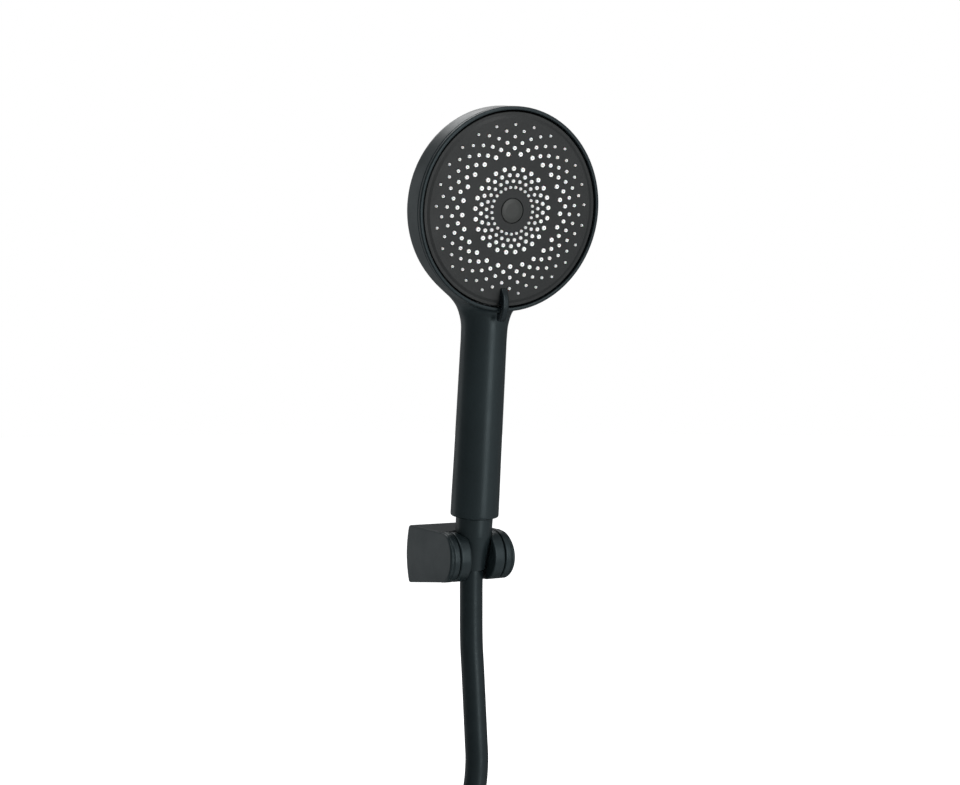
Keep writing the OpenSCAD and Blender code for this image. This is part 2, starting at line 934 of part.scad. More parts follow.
// The hose's top is rounded, so that it can swing inside the nut's mouth
module hose_tube() {
    top_angles = [72, 54, 36, 18];
    up = [0, -sin(handset_lean), cos(handset_lean)];
    path = concat([for (t = top_angles) hang_point + hose_d / 2 * sin(t) * up],
                  [hang_point], hose_route);
    radii = concat([for (t = top_angles) hose_d / 2 * cos(t)],
                   [hose_d / 2], [for (p = hose_route) hose_d / 2]);
    color(soft_black)
    sweep(path, radii, 12, [0, 1, 0.2]);
}

// Section of the coil, [radius, depth]
module coil_section(extra) {
    corner = 5;
    half = hose_d / 2 + extra;
    low = -hose_d / 2 - extra;
    high = coil_depth + hose_d / 2 + extra;
    for (r = [coil_r - half + corner, coil_r + half - corner])
        for (d = [low + corner, high - corner])
            translate([r, d]) circle(r = corner, $fn = 32);
    translate([coil_r - half, low + corner]) square([2 * half, high - low - 2 * corner]);
    translate([coil_r - half + corner, low]) square([2 * half - 2 * corner, high - low]);
}

// Coordinates of the coil: +Z towards the wall, +X sideways, origin at its centre
module on_coil() {
    translate(coil_centre) rotate([-90, 0, 0]) children();
}

module hose_coil() {
    color(soft_black)
    on_coil() rotate_extrude() coil_section(0);
}

module hose_tie() {
    tie_w = 18;
    tie_t = 1.6;
    color(rubber)
    on_coil()
        difference() {
            intersection() {
                rotate_extrude() coil_section(tie_t);
                translate([-tie_w / 2, -coil_r - 20, -20])
                    cube([tie_w, 40, coil_depth + 40]);
            }
            rotate_extrude() coil_section(0.02);
        }
}

coil_end_angle = coil_start_angle + coil_turn;
// Point where the hose leaves the coil, and its direction there
coil_end = coil_centre + [coil_r * cos(coil_end_angle), coil_depth,
                          coil_r * sin(coil_end_angle)];
tail_dir = [-sin(coil_end_angle), 0, cos(coil_end_angle)];

// Coordinates of the hose's free end: +Z along the hose, away from the coil
module at_tail(distance) {
    translate(coil_end + distance * tail_dir)
        rotate([0, atan2(tail_dir[0], tail_dir[2]), 0]) children();
}

module hose_tail() {
    color(soft_black)
    at_tail(0) cylinder(r = hose_d / 2, h = tail_length);
}

far_sleeve = 14;
far_stem_end = 22;
far_flange_end = 24;
far_washer_end = 26;
far_nut_end = 34;
far_stem_r = 6.9;

module far_ferrule() {
    sleeve_r = hose_d / 2 + 0.9;
    color(steel)
    at_tail(tail_length)
        difference() {
            union() {
                disc(sleeve_r, 0.02, far_sleeve);
                disc(far_stem_r, far_sleeve - past, far_stem_end);
                disc(9.4, far_stem_end, far_flange_end);
            }
            disc(4.6, -past, far_flange_end + past);
        }
}

module far_nut() {
    nut_af = 25;
    color(black)
    at_tail(tail_length)
        difference() {
            intersection() {
                disc(14.2, far_sleeve + 0.4, far_nut_end);
                rotate([0, 0, 15])
                    translate([0, 0, far_sleeve])
                        cylinder(r = nut_af / 2 / cos(30), h = 30, $fn = 6);
            }
            disc(far_stem_r + running, far_sleeve, far_stem_end + past);
            disc(inlet_r + 0.15, far_stem_end - 0.1, far_washer_end + 0.02);
            disc(inlet_r, far_washer_end, far_nut_end + past);
        }
}

module far_washer() {
    color(rubber)
    at_tail(tail_length) ring(5.5, inlet_r - 0.2, far_flange_end + 0.02, far_washer_end);
}

// ---- Assembly -------------------------------------------------------------

bracket_base();
wall_plate();
grub_screw();
friction_washers();
cradle();
body_shell();
rim_ring();
face_plate();
nozzle_mat();
spray_chamber();
diverter_disc();
hub_o_ring();
centre_cap();
mode_lever();
diverter_seat();
port_seal();
seat_screws();
centre_screw();
screw_washer();
detent_spring();
detent_ball();
waterway_tube();
tube_o_ring();
flow_regulator();
inlet_filter();
cone_nut();
hose_ferrule();
hose_tube();
hose_coil();
hose_tail();
hose_tie();
far_ferrule();
far_nut();
far_washer();
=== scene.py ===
"""Looks of the hand shower: shells meshed from smooth fields, turned trims, nozzles, hose and materials,
with the studio round it."""

import json
import math

import bmesh
import bpy
import numpy as np
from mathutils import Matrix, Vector


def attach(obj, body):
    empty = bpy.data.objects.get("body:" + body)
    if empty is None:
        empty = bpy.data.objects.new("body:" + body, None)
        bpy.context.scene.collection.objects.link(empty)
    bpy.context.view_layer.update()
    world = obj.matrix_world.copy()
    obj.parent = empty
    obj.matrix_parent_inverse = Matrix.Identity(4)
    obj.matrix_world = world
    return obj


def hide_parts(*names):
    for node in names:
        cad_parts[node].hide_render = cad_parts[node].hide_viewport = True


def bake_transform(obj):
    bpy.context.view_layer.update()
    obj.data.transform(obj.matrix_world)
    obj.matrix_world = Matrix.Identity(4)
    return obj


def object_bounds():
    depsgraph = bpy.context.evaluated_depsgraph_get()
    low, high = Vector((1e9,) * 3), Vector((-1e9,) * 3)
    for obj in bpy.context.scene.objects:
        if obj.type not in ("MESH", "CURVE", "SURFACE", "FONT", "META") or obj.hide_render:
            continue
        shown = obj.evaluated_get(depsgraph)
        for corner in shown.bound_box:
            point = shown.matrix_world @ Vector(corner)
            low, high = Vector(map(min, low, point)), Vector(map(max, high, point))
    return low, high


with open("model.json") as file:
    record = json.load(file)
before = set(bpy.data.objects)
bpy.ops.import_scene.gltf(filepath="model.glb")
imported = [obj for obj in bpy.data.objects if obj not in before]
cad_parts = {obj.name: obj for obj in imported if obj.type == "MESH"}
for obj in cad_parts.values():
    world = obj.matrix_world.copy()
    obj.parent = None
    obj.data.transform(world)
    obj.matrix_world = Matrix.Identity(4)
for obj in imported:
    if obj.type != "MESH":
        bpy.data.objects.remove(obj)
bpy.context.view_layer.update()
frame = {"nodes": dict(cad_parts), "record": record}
scene = bpy.context.scene

# ---- Sizes in millimetres, as in the CAD source ---------------------------

PIVOT_Y, PIVOT_Z, LEAN = -50.0, 3.4, 6.34
FACE_FORWARD, FACE_HEIGHT, FACE_TILT = 27.4, 215.05, 6.64
HEAD_R, RIM_IN_R = 60.5, 58.3
HEAD_DEPTH, SHELL_FRONT, RIM_FRONT = 34.5, 2.0, -0.6
SHELL_WALL = 2.05
HANDLE_LOW, HANDLE_BORE = 25.8, 11.9
NUT_LOW, NUT_TAPER_TOP, NUT_TOP = -8.0, 14.0, 25.3
NUT_R_LOW, NUT_R_HIGH, NUT_R_TOP = 8.35, 11.45, 11.7
DRUM_R, DRUM_HALF, SLOT_HALF, DRUM_GAP = 15.5, 15.5, 8.2, 0.6
TRUNNION_R, TRUNNION_LENGTH = 5.0, 3.0
BASE_H, BASE_MID, BASE_EDGE = 38.0, 45.6, 42.0
HOSE_D = 14.5

# ---- Camera ---------------------------------------------------------------

CAMERA_AT = Vector((-0.3502, -0.7167, 0.1063))
CAMERA_FORWARD = Vector((0.4707, 0.8823, 0.0))
LENS_MM, SENSOR_MM = 44.75, 36
camera = bpy.data.objects.new("camera", bpy.data.cameras.new("camera"))
scene.collection.objects.link(camera)
camera.data.lens = LENS_MM
camera.data.sensor_width = SENSOR_MM
camera.data.clip_start = 0.02
camera.data.clip_end = 60
camera.location = CAMERA_AT
camera.rotation_mode = "QUATERNION"
camera.rotation_quaternion = CAMERA_FORWARD.to_track_quat("-Z", "Y")
scene.camera = camera

# ---- Frames ---------------------------------------------------------------


def turn_x(degrees):
    """Rotation about X as a 3x3 array."""
    c, s = math.cos(math.radians(degrees)), math.sin(math.radians(degrees))
    return np.array([[1, 0, 0], [0, c, -s], [0, s, c]], float)


WORLD = (np.eye(3), np.zeros(3))
HANDSET = (turn_x(LEAN), np.array([0, PIVOT_Y, PIVOT_Z], float))
FACE_IN_HANDSET = (turn_x(FACE_TILT - 90), np.array([0, -FACE_FORWARD, FACE_HEIGHT]))
FACE = (HANDSET[0] @ FACE_IN_HANDSET[0], HANDSET[0] @ FACE_IN_HANDSET[1] + HANDSET[1])


def place(points, where):
    """Points of a local frame in the shared frame."""
    return points @ where[0].T + where[1]


def to_face(p):
    """Points of the handset's frame in the face's frame."""
    return (p - FACE_IN_HANDSET[1]) @ FACE_IN_HANDSET[0]


# ---- Materials ------------------------------------------------------------


class Shader:
    """Builds one node material; inputs are numbers, colours or other nodes' sockets."""

    def __init__(self, name):
        self.material = bpy.data.materials.new(name)
        self.material.use_nodes = True
        self.tree = self.material.node_tree
        self.surface = self.tree.nodes["Principled BSDF"]
        self.coords = self.tree.nodes.new("ShaderNodeTexCoord").outputs["Object"]

    def put(self, socket, value):
        if isinstance(value, bpy.types.NodeSocket):
            self.tree.links.new(value, socket)
        else:
            socket.default_value = value

    def noise(self, scale, detail=3.0, roughness=0.55, stretch=(1, 1, 1)):
        at = self.coords
        if stretch != (1, 1, 1):
            mapping = self.tree.nodes.new("ShaderNodeMapping")
            mapping.inputs["Scale"].default_value = stretch
            self.put(mapping.inputs["Vector"], at)
            at = mapping.outputs[0]
        node = self.tree.nodes.new("ShaderNodeTexNoise")
        self.put(node.inputs["Vector"], at)
        node.inputs["Scale"].default_value = scale
        node.inputs["Detail"].default_value = detail
        node.inputs["Roughness"].default_value = roughness
        return node.outputs["Fac"]

    def between(self, value, low, high, out_low, out_high):
        node = self.tree.nodes.new("ShaderNodeMapRange")
        self.put(node.inputs["Value"], value)
        for key, number in zip(("From Min", "From Max", "To Min", "To Max"),
                               (low, high, out_low, out_high)):
            node.inputs[key].default_value = number
        return node.outputs[0]

    def times(self, a, b):
        node = self.tree.nodes.new("ShaderNodeMath")
        node.operation = "MULTIPLY"
        self.put(node.inputs[0], a)
        self.put(node.inputs[1], b)
        return node.outputs[0]

    def mix(self, factor, a, b):
        node = self.tree.nodes.new("ShaderNodeMix")
        node.data_type = "RGBA"
        self.put(node.inputs[0], factor)
        self.put(node.inputs[6], a)
        self.put(node.inputs[7], b)
        return node.outputs[2]

    def edges(self):
        """About 1 on the crests of a finely meshed form, 0 elsewhere."""
        node = self.tree.nodes.new("ShaderNodeNewGeometry")
        return self.between(node.outputs["Pointiness"], 0.53, 0.62, 0.0, 1.0)

    def bump(self, height, strength, distance, below=None):
        node = self.tree.nodes.new("ShaderNodeBump")
        node.inputs["Strength"].default_value = strength
        node.inputs["Distance"].default_value = distance
        self.put(node.inputs["Height"], height)
        if below is not None:
            self.put(node.inputs["Normal"], below)
        return node.outputs[0]

    def finish(self, **inputs):
        for key, value in inputs.items():
            self.put(self.surface.inputs[key.replace("_", " ")], value)
        return self.material


COOL, NEUTRAL = (0.80, 0.96, 1.0, 1.0), (1.0, 1.0, 1.0, 1.0)


def shade(colour, by):
    """A colour made lighter or darker, with its alpha."""
    return tuple(min(1.0, c * by) for c in colour) + (1.0,)


def moulded(name, colour, rough, grain=1.0, wear=0.0, specular=0.3, tint=COOL):
    """Spark-eroded moulded plastic: fine grain, faint mottling and, where asked, rubbed edges."""
    s = Shader(name)
    mottle = s.noise(38, 4)
    fine = s.noise(1500, 2, 0.6)
    colour_node = s.mix(s.between(mottle, 0.3, 0.7, 0.0, 1.0),
                        shade(colour, 0.88), shade(colour, 1.12))
    colour_node = s.mix(s.times(s.between(fine, 0.4, 0.65, 0.0, 1.0), 0.25),
                        colour_node, shade(colour, 1.35))
    if wear:
        rubbed = s.times(s.edges(), s.between(s.noise(240, 3), 0.35, 0.6, 0.25, 1.0))
        colour_node = s.mix(s.times(rubbed, wear), colour_node, shade(colour, 2.4))
    rough_node = s.between(s.noise(70, 3), 0.3, 0.7, rough - 0.04, rough + 0.05)
    waves = s.bump(s.noise(90, 2), 0.12, 0.0004)
    normal = s.bump(fine, 0.22 * grain, 0.00012, waves)
    return s.finish(Base_Color=colour_node, Roughness=rough_node, Normal=normal,
                    Specular_IOR_Level=specular, Specular_Tint=tint)


def rubber(name, colour, rough, specular=0.4, tint=NEUTRAL):
    """Moulded elastomer with a dusty bloom."""
    s = Shader(name)
    bloom = s.between(s.noise(120, 5, 0.65), 0.45, 0.75, 0.0, 0.5)
    colour_node = s.mix(bloom, shade(colour, 0.9), shade(colour, 1.5))
    normal = s.bump(s.noise(1900, 2), 0.3, 0.0001)
    rough_node = s.between(s.noise(200, 3), 0.3, 0.7, rough - 0.05, rough + 0.05)
    return s.finish(Base_Color=colour_node, Roughness=rough_node, Normal=normal,
                    Specular_IOR_Level=specular, Specular_Tint=tint)


def metal(name, colour, rough, stretch):
    """Turned or rolled metal with a fine brushed direction."""
    s = Shader(name)
    lines = s.noise(420, 4, 0.7, stretch)
    stain = s.noise(60, 3)
    colour_node = s.mix(s.between(stain, 0.35, 0.7, 0.0, 1.0),
                        shade(colour, 1.0), shade(colour, 0.82))
    rough_node = s.between(lines, 0.3, 0.7, rough - 0.08, rough + 0.1)
    return s.finish(Base_Color=colour_node, Roughness=rough_node,
                    Normal=s.bump(lines, 0.15, 0.0001), Metallic=1.0)


def silicone(name, colour):
    """Soft white silicone: slightly translucent, with a satin skin."""
    s = Shader(name)
    colour_node = s.mix(s.between(s.noise(260, 3), 0.35, 0.7, 0.0, 1.0),
                        shade(colour, 1.0), shade(colour, 0.95))
    return s.finish(Base_Color=colour_node,
                    Roughness=s.between(s.noise(500, 2), 0.3, 0.7, 0.36, 0.5),
                    Normal=s.bump(s.noise(2200, 2), 0.2, 0.00008),
                    Subsurface_Weight=0.08, Subsurface_Scale=0.0004)


def woven(name, colour):
    """Woven strap: two crossing rows of threads."""
    s = Shader(name)
    rows = []
    for direction in ("X", "Y"):
        wave = s.tree.nodes.new("ShaderNodeTexWave")
        wave.bands_direction = direction
        wave.inputs["Scale"].default_value = 260
        wave.inputs["Distortion"].default_value = 0.6
        s.put(wave.inputs["Vector"], s.coords)
        rows.append(wave.outputs["Fac"])
    weave = s.times(rows[0], rows[1])
    colour_node = s.mix(weave, shade(colour, 0.6), shade(colour, 1.7))
    return s.finish(Base_Color=colour_node,
                    Roughness=s.between(s.noise(300, 3), 0.3, 0.7, 0.75, 0.9),
                    Normal=s.bump(weave, 0.6, 0.0004), Sheen_Weight=0.25)


BLACK = (0.0070, 0.0108, 0.0120)
FACE_BLACK = (0.0098, 0.0110, 0.0110)
MATERIALS = {
    "black_abs": moulded("black_abs", BLACK, 0.33, 1.0, 0.35),
    "face_plastic": moulded("face_plastic", FACE_BLACK, 0.42, 1.2, specular=0.27, tint=NEUTRAL),
    "trim_plastic": moulded("trim_plastic", (0.0055, 0.0080, 0.0092), 0.33, 0.6, 0.35),
    "nut_plastic": moulded("nut_plastic", BLACK, 0.38, 0.8, 0.4),
    "silicone": silicone("silicone", (0.82, 0.83, 0.82)),
    "steel": metal("steel", (0.62, 0.63, 0.65), 0.3, (1, 1, 9)),
    "brass": metal("brass", (0.72, 0.52, 0.22), 0.28, (1, 1, 8)),
    "inner_plastic": moulded("inner_plastic", (0.42, 0.44, 0.46), 0.42, 0.8),
    "seal_rubber": rubber("seal_rubber", (0.012, 0.012, 0.013), 0.62),
    "regulator_plastic": moulded("regulator_plastic", (0.02, 0.09, 0.28), 0.4, 0.8),
    "hose_skin": rubber("hose_skin", (0.0046, 0.0080, 0.0092), 0.38, 0.3, COOL),
    # Black plastic like trim_plastic but darker: the lower albedo is painted shade for the lever's
    # shaded side.
    "lever_plastic_painted_shade": moulded("lever_plastic_painted_shade", (0.0030, 0.0046, 0.0058), 0.24, 0.5, 0.25),
    "cap_plastic": moulded("cap_plastic", (0.0200, 0.0215, 0.0200), 0.36, 1.0, tint=NEUTRAL),
    "strap_weave": woven("strap_weave", (0.014, 0.015, 0.017)),
}

# ---- Mesh tools -----------------------------------------------------------


def add_piece(name, points, faces, where, slot, body, replaced, material=None, smooth=True):
    """A mesh object made from millimetre points of a local frame."""
    mesh = bpy.data.meshes.new(name)
    mesh.from_pydata((place(np.asarray(points, float), where) / 1000).tolist(), [],
                     [list(map(int, f)) for f in faces])
    mesh.validate()
    mesh.polygons.foreach_set("use_smooth", [smooth] * len(mesh.polygons))
    mesh.materials.append(MATERIALS[material or slot])
    mesh.update()
    piece = bpy.data.objects.new(name, mesh)
    scene.collection.objects.link(piece)
    if body:
        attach(piece, body)
    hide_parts(*replaced)
    return piece


def join_smoothly(a, b, k):
    """Union of two fields with a fillet of about k."""
    h = np.maximum(k - np.abs(a - b), 0) / k
    return np.minimum(a, b) - h * h * k / 4


def cut_smoothly(a, b, k):
    """Intersection of two fields with a rounded edge of about k."""
    return -join_smoothly(-a, -b, k)


def surface(field, low, high, step):
    """Surface where a field is zero, as points pulled onto it and the quads between them."""
    axes = [np.arange(a, b + step, step) for a, b in zip(low, high)]
    shape = np.array([len(a) for a in axes])
    ys, zs = np.meshgrid(axes[1], axes[2], indexing="ij")
    value = np.empty(tuple(shape))
    for i, x in enumerate(axes[0]):
        sheet = np.stack([np.full(ys.size, x), ys.ravel(), zs.ravel()], 1)
        value[i] = field(sheet).reshape(ys.shape)
    inside = value < 0
    cells = shape - 1
    cell_ids, points, quads = [], [], []
    for axis in range(3):
        b, c = (axis + 1) % 3, (axis + 2) % 3
        near = [slice(None)] * 3
        far = [slice(None)] * 3
        near[axis], far[axis] = slice(0, -1), slice(1, None)
        crossing = inside[tuple(near)] != inside[tuple(far)]
        at = np.argwhere(crossing)
        at = at[(at[:, b] > 0) & (at[:, c] > 0) & (at[:, b] < cells[b]) & (at[:, c] < cells[c])]
        past = at.copy()
        past[:, axis] += 1
        v0, v1 = value[tuple(at.T)], value[tuple(past.T)]
        where = at.astype(float)
        where[:, axis] += v0 / (v0 - v1)
        corners = []
        for db, dc in ((-1, -1), (0, -1), (0, 0), (-1, 0)):
            cell = at.copy()
            cell[:, b] += db
            cell[:, c] += dc
            corners.append(np.ravel_multi_index(tuple(cell.T), tuple(cells)))
            cell_ids.append(corners[-1])
            points.append(where)
        quad = np.stack(corners, 1)
        flip = ~(v0 < 0)
        quad[flip] = quad[flip][:, ::-1]
        quads.append(quad)
    ids, index = np.unique(np.concatenate(cell_ids), return_inverse=True)
    all_points = np.concatenate(points)
    count = np.bincount(index)
    spot = np.stack([np.bincount(index, all_points[:, k]) / count for k in range(3)], 1)
    spot = spot * step + np.array([a[0] for a in axes])
    faces = np.searchsorted(ids, np.concatenate(quads))
    nudge = 0.02
    for _ in range(4):
        f = field(spot)
        slope = np.stack([(field(spot + nudge * e) - f) / nudge for e in np.eye(3)], 1)
        move = slope * (f / np.maximum((slope ** 2).sum(1), 0.05))[:, None]
        length = np.linalg.norm(move, axis=1, keepdims=True)
        spot = spot - move * np.minimum(1, 0.7 * step / np.maximum(length, 1e-9))
    return spot, faces


def rounded(corners, steps=5):
    """Closed profile through [a, b, radius] corners with each corner rounded."""
    pts = np.array([c[:2] for c in corners], float)
    out = []
    n = len(pts)
    for i, (a, b, radius) in enumerate(corners):
        p, before, after = pts[i], pts[i - 1] - pts[i], pts[(i + 1) % n] - pts[i]
        lb, la = np.linalg.norm(before), np.linalg.norm(after)
        before, after = before / lb, after / la
        half = math.acos(max(-1.0, min(1.0, float(before @ after)))) / 2
        reach = min(radius / math.tan(half), 0.45 * lb, 0.45 * la) if radius else 0.0
        if reach < 1e-6:
            out.append(p)
            continue
        r = reach * math.tan(half)
        centre = p + (before + after) / np.linalg.norm(before + after) * r / math.sin(half)
        start, end = p + before * reach - centre, p + after * reach - centre
        a0, a1 = math.atan2(start[1], start[0]), math.atan2(end[1], end[0])
        sweep = (a1 - a0 + math.pi) % (2 * math.pi) - math.pi
        for k in range(steps + 1):
            t = a0 + sweep * k / steps
            out.append(centre + r * np.array([math.cos(t), math.sin(t)]))
    return np.array(out)


def lathe(profile, sides, closed=True):
    """Turns [radius, height] points about Z. Radii of zero become poles."""
    profile = np.asarray(profile, float)
    n = len(profile)
    angle = np.arange(sides) * 2 * np.pi / sides
    points = np.stack([
        np.outer(profile[:, 0], np.cos(angle)), np.outer(profile[:, 0], np.sin(angle)),
        np.repeat(profile[:, 1:2], sides, 1)], -1).reshape(-1, 3)
    faces = []
    for i in range(n if closed else n - 1):
        j = (i + 1) % n
        for k in range(sides):
            m = (k + 1) % sides
            faces.append((i * sides + k, i * sides + m, j * sides + m, j * sides + k))
    return points, faces


def merge(parts):
    """Several (points, faces) as one."""
    points, faces, start = [], [], 0
    for p, f in parts:
        points.append(p)
        faces.extend(tuple(i + start for i in face) for face in f)
        start += len(p)
    return np.concatenate(points), faces


def weld(piece, distance=1e-6):
    """Merges the doubled points of a mesh, such as a lathe's poles, and points faces outwards."""
    work = bmesh.new()
    work.from_mesh(piece.data)
    bmesh.ops.remove_doubles(work, verts=work.verts, dist=distance)
    bmesh.ops.dissolve_degenerate(work, edges=work.edges, dist=distance)
    bmesh.ops.recalc_face_normals(work, faces=work.faces)
    work.to_mesh(piece.data)
    work.free()
    piece.data.polygons.foreach_set("use_smooth", [True] * len(piece.data.polygons))
    return piece


# ---- Hose -----------------------------------------------------------------

HOSE_ROUTE = [
    (0, -48.5, -16), (0, -48.5, -28), (0, -48.5, -41), (0, -49, -54), (0, -50.5, -67),
    (0, -52, -81), (0, -53.5, -96), (0, -55, -111), (0, -56, -125),
    (-2.5, -56.5, -144), (-10, -57, -162.5), (-22, -57.5, -178), (-35.5, -57.5, -189),
]
HANG_HEIGHT = -10.2
COIL_CENTRE = (10, -57.5, -262)
COIL_R, COIL_START, COIL_TURN, COIL_PITCH = 86, 122, 823, 15
TAIL_LENGTH = 70
STRAND_LOOPS = (1, 2)


def coil_point(turned):
    """Where the hose is after so many degrees of its coil."""
    a = math.radians(COIL_START + turned)
    return (COIL_CENTRE[0] + COIL_R * math.cos(a), COIL_CENTRE[1] + COIL_PITCH * turned / 360,
            COIL_CENTRE[2] + COIL_R * math.sin(a))


hang_point = place(np.array([0, 0, HANG_HEIGHT], float), HANDSET)
COIL_POINTS = 74
coil = [coil_point(t) for t in np.linspace(0, COIL_TURN, COIL_POINTS)]
end_angle = math.radians(COIL_START + COIL_TURN)
tail_dir = np.array([-math.sin(end_angle), 0, math.cos(end_angle)])
tail = [np.array(coil[-1]) + tail_dir * d for d in (14, 28, 42, 56, TAIL_LENGTH)]
route = np.array([hang_point, *HOSE_ROUTE, *coil[1:], *tail], float)


def through(points, spacing):
    """Even points on a centripetal Catmull-Rom curve through the given ones."""
    p = np.concatenate([[2 * points[0] - points[1]], points, [2 * points[-1] - points[-2]]])
    fine = []
    for i in range(1, len(p) - 2):
        knots = [0.0]
        for k in range(3):
            knots.append(knots[-1] + math.sqrt(np.linalg.norm(p[i + k] - p[i + k - 1])))
        t0, t1, t2, t3 = knots
        t = np.linspace(t1, t2, 12, endpoint=False)[:, None]
        a1 = (t1 - t) / (t1 - t0) * p[i - 1] + (t - t0) / (t1 - t0) * p[i]
        a2 = (t2 - t) / (t2 - t1) * p[i] + (t - t1) / (t2 - t1) * p[i + 1]
        a3 = (t3 - t) / (t3 - t2) * p[i + 1] + (t - t2) / (t3 - t2) * p[i + 2]
        b1 = (t2 - t) / (t2 - t0) * a1 + (t - t0) / (t2 - t0) * a2
        b2 = (t3 - t) / (t3 - t1) * a2 + (t - t1) / (t3 - t1) * a3
        fine.append((t2 - t) / (t2 - t1) * b1 + (t - t1) / (t2 - t1) * b2)
    fine = np.concatenate([*fine, points[-1:]])
    length = np.concatenate([[0], np.cumsum(np.linalg.norm(np.diff(fine, axis=0), axis=1))])
    even = np.linspace(0, length[-1], int(length[-1] / spacing) + 1)
    return np.stack([np.interp(even, length, fine[:, k]) for k in range(3)], 1)


def tube(line, radii, sides):
    """Round tube along a line with a frame that doesn't twist, closed at both ends."""
    along = np.gradient(line, axis=0)
    along /= np.linalg.norm(along, axis=1, keepdims=True)
    side = np.cross(along[0], (0, 1, 0.2))
    rings = []
    for p, d, r in zip(line, along, radii):
        side = side - d * (side @ d)
        side /= np.linalg.norm(side)
        across = np.cross(d, side)
        angle = np.arange(sides) * 2 * np.pi / sides
        rings.append(p + r * (np.outer(np.cos(angle), side) + np.outer(np.sin(angle), across)))
    points = np.concatenate(rings)
    faces = [(i * sides + k, i * sides + (k + 1) % sides, (i + 1) * sides + (k + 1) % sides,
              (i + 1) * sides + k) for i in range(len(line) - 1) for k in range(sides)]
    faces.append(tuple(range(sides))[::-1])
    faces.append(tuple((len(line) - 1) * sides + k for k in range(sides)))
    return points, faces


LINE_SPACING, HOSE_SIDES, BEND_LENGTH = 3.0, 32, 70
hose_line = through(route, LINE_SPACING)
top_angles = np.radians([84, 72, 60, 48, 36, 24, 12])
up = HANDSET[0] @ np.array([0, 0, 1.0])
cap_line = np.array([hang_point + HOSE_D / 2 * math.sin(t) * up for t in top_angles])
hose_points, hose_faces = tube(
    np.concatenate([cap_line, hose_line]),
    np.concatenate([HOSE_D / 2 * np.cos(top_angles), np.full(len(hose_line), HOSE_D / 2)]),
    HOSE_SIDES)
hose = add_piece("hose", hose_points, hose_faces, WORLD, "hose_skin", None,
                 ["hose_tube", "hose_coil", "hose_tail"])
weld(hose, 1e-7)
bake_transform(hose)

# Strap that holds the two strands at the top of the coil
STRAP_HALF, STRAP_GAP, STRAP_T = 8.5, 0.75, 1.2
strands = [COIL_CENTRE[1] + COIL_PITCH * (90 + loops * 360 - COIL_START) / 360
           for loops in STRAND_LOOPS]
strap_centre = np.array([COIL_CENTRE[0], sum(strands) / 2, COIL_CENTRE[2]])


def strap_field(p):
    """A flat band round both strands, bent with the coil."""
    out = np.hypot(p[:, 0], p[:, 2]) - COIL_R
    apart = np.maximum(np.abs(p[:, 1]) - (strands[1] - strands[0]) / 2, 0)
    loop = np.hypot(out, apart) - HOSE_D / 2 - STRAP_GAP
    tongue = np.maximum(np.abs(out - HOSE_D / 2 - 1.9), np.abs(p[:, 1] + 1.5) - 6) - 0.4
    band = join_smoothly(np.abs(loop) - STRAP_T / 2, tongue, 0.5)
    return cut_smoothly(band, np.abs(p[:, 0]) - STRAP_HALF, 0.8)


FINE, MEDIUM, COARSE = 0.22, 0.42, 0.8
points, faces = surface(strap_field, (-9.5, -18, COIL_R - 11), (9.5, 18, COIL_R + 12), 0.45)
strap = add_piece("hose_strap", points, faces, (np.eye(3), strap_centre), "seal_rubber", "hose",
                  ["hose_tie"], "strap_weave")

# Nut at the far end, with its flats, chamfers and bore
TAIL = (np.stack([np.cross((0, 1, 0), tail_dir), np.array([0, 1, 0]), tail_dir], 1), tail[-1])
NUT_FLAT, NUT_ROUND = 12.5, 13.9
FAR_NUT_LOW, FAR_NUT_HIGH, FAR_NUT_SHOULDER = 14.4, 34.0, 22.0
FAR_NUT_HOLE_R, THREAD_R, THREAD_DEPTH, THREAD_PITCH = 6.95, 10.6, 0.25, 1.8


def far_nut_field(p):
    """A hexagon nut along the hose's tail, with a threaded mouth and a smaller hole behind it."""
    hexagon = np.maximum.reduce([
        np.abs(p[:, 0] * math.cos(a) + p[:, 1] * math.sin(a)) for a in np.radians([45, 105, 165])])
    r = np.hypot(p[:, 0], p[:, 1])
    middle = (FAR_NUT_LOW + FAR_NUT_HIGH) / 2
    height = np.abs(p[:, 2] - middle) - (FAR_NUT_HIGH - FAR_NUT_LOW) / 2
    chamfer = (r + height * 2.2 - NUT_ROUND) / 2.4
    body = cut_smoothly(cut_smoothly(hexagon - NUT_FLAT, height, 0.7), chamfer, 0.8)
    thread = THREAD_DEPTH * np.sin(p[:, 2] * 2 * np.pi / THREAD_PITCH)
    mouth = np.maximum(r - THREAD_R - thread, FAR_NUT_SHOULDER - p[:, 2])
    bore = join_smoothly(r - FAR_NUT_HOLE_R, mouth, 0.3)
    return cut_smoothly(body, -bore, 0.6)


points, faces = surface(far_nut_field, (-16, -16, 12.5), (16, 16, 36), MEDIUM)
far_nut = add_piece("far_hex_nut", points, faces, TAIL, "nut_plastic", "far_nut", ["far_nut"])

# ---- Handset shell --------------------------------------------------------

# Cross-sections of the handle and neck: height, half width, front, back
SECTIONS = np.array([
    (20.0, 15.2, -15.2, 15.2), (26.3, 15.2, -15.2, 15.2), (65.8, 14.85, -14.85, 14.85),
    (105.8, 14.55, -14.55, 14.55), (128.0, 14.38, -14.38, 14.38),
    (139, 14.35, -14.35, 14.35), (146, 14.8, -14.35, 14.35),
    (151, 16.2, -14.2, 14.3), (156, 18.6, -13.8, 14.1), (161, 22.4, -13, 13.8),
    (166, 26.2, -12, 13.3), (172, 29.2, -11.2, 12.6), (180, 29, -11, 11.4),
    (190, 25, -11.4, 9.8), (200, 18, -12, 7.8), (210, 9, -12, 5.2), (220, 6, -12, 3.0),
])


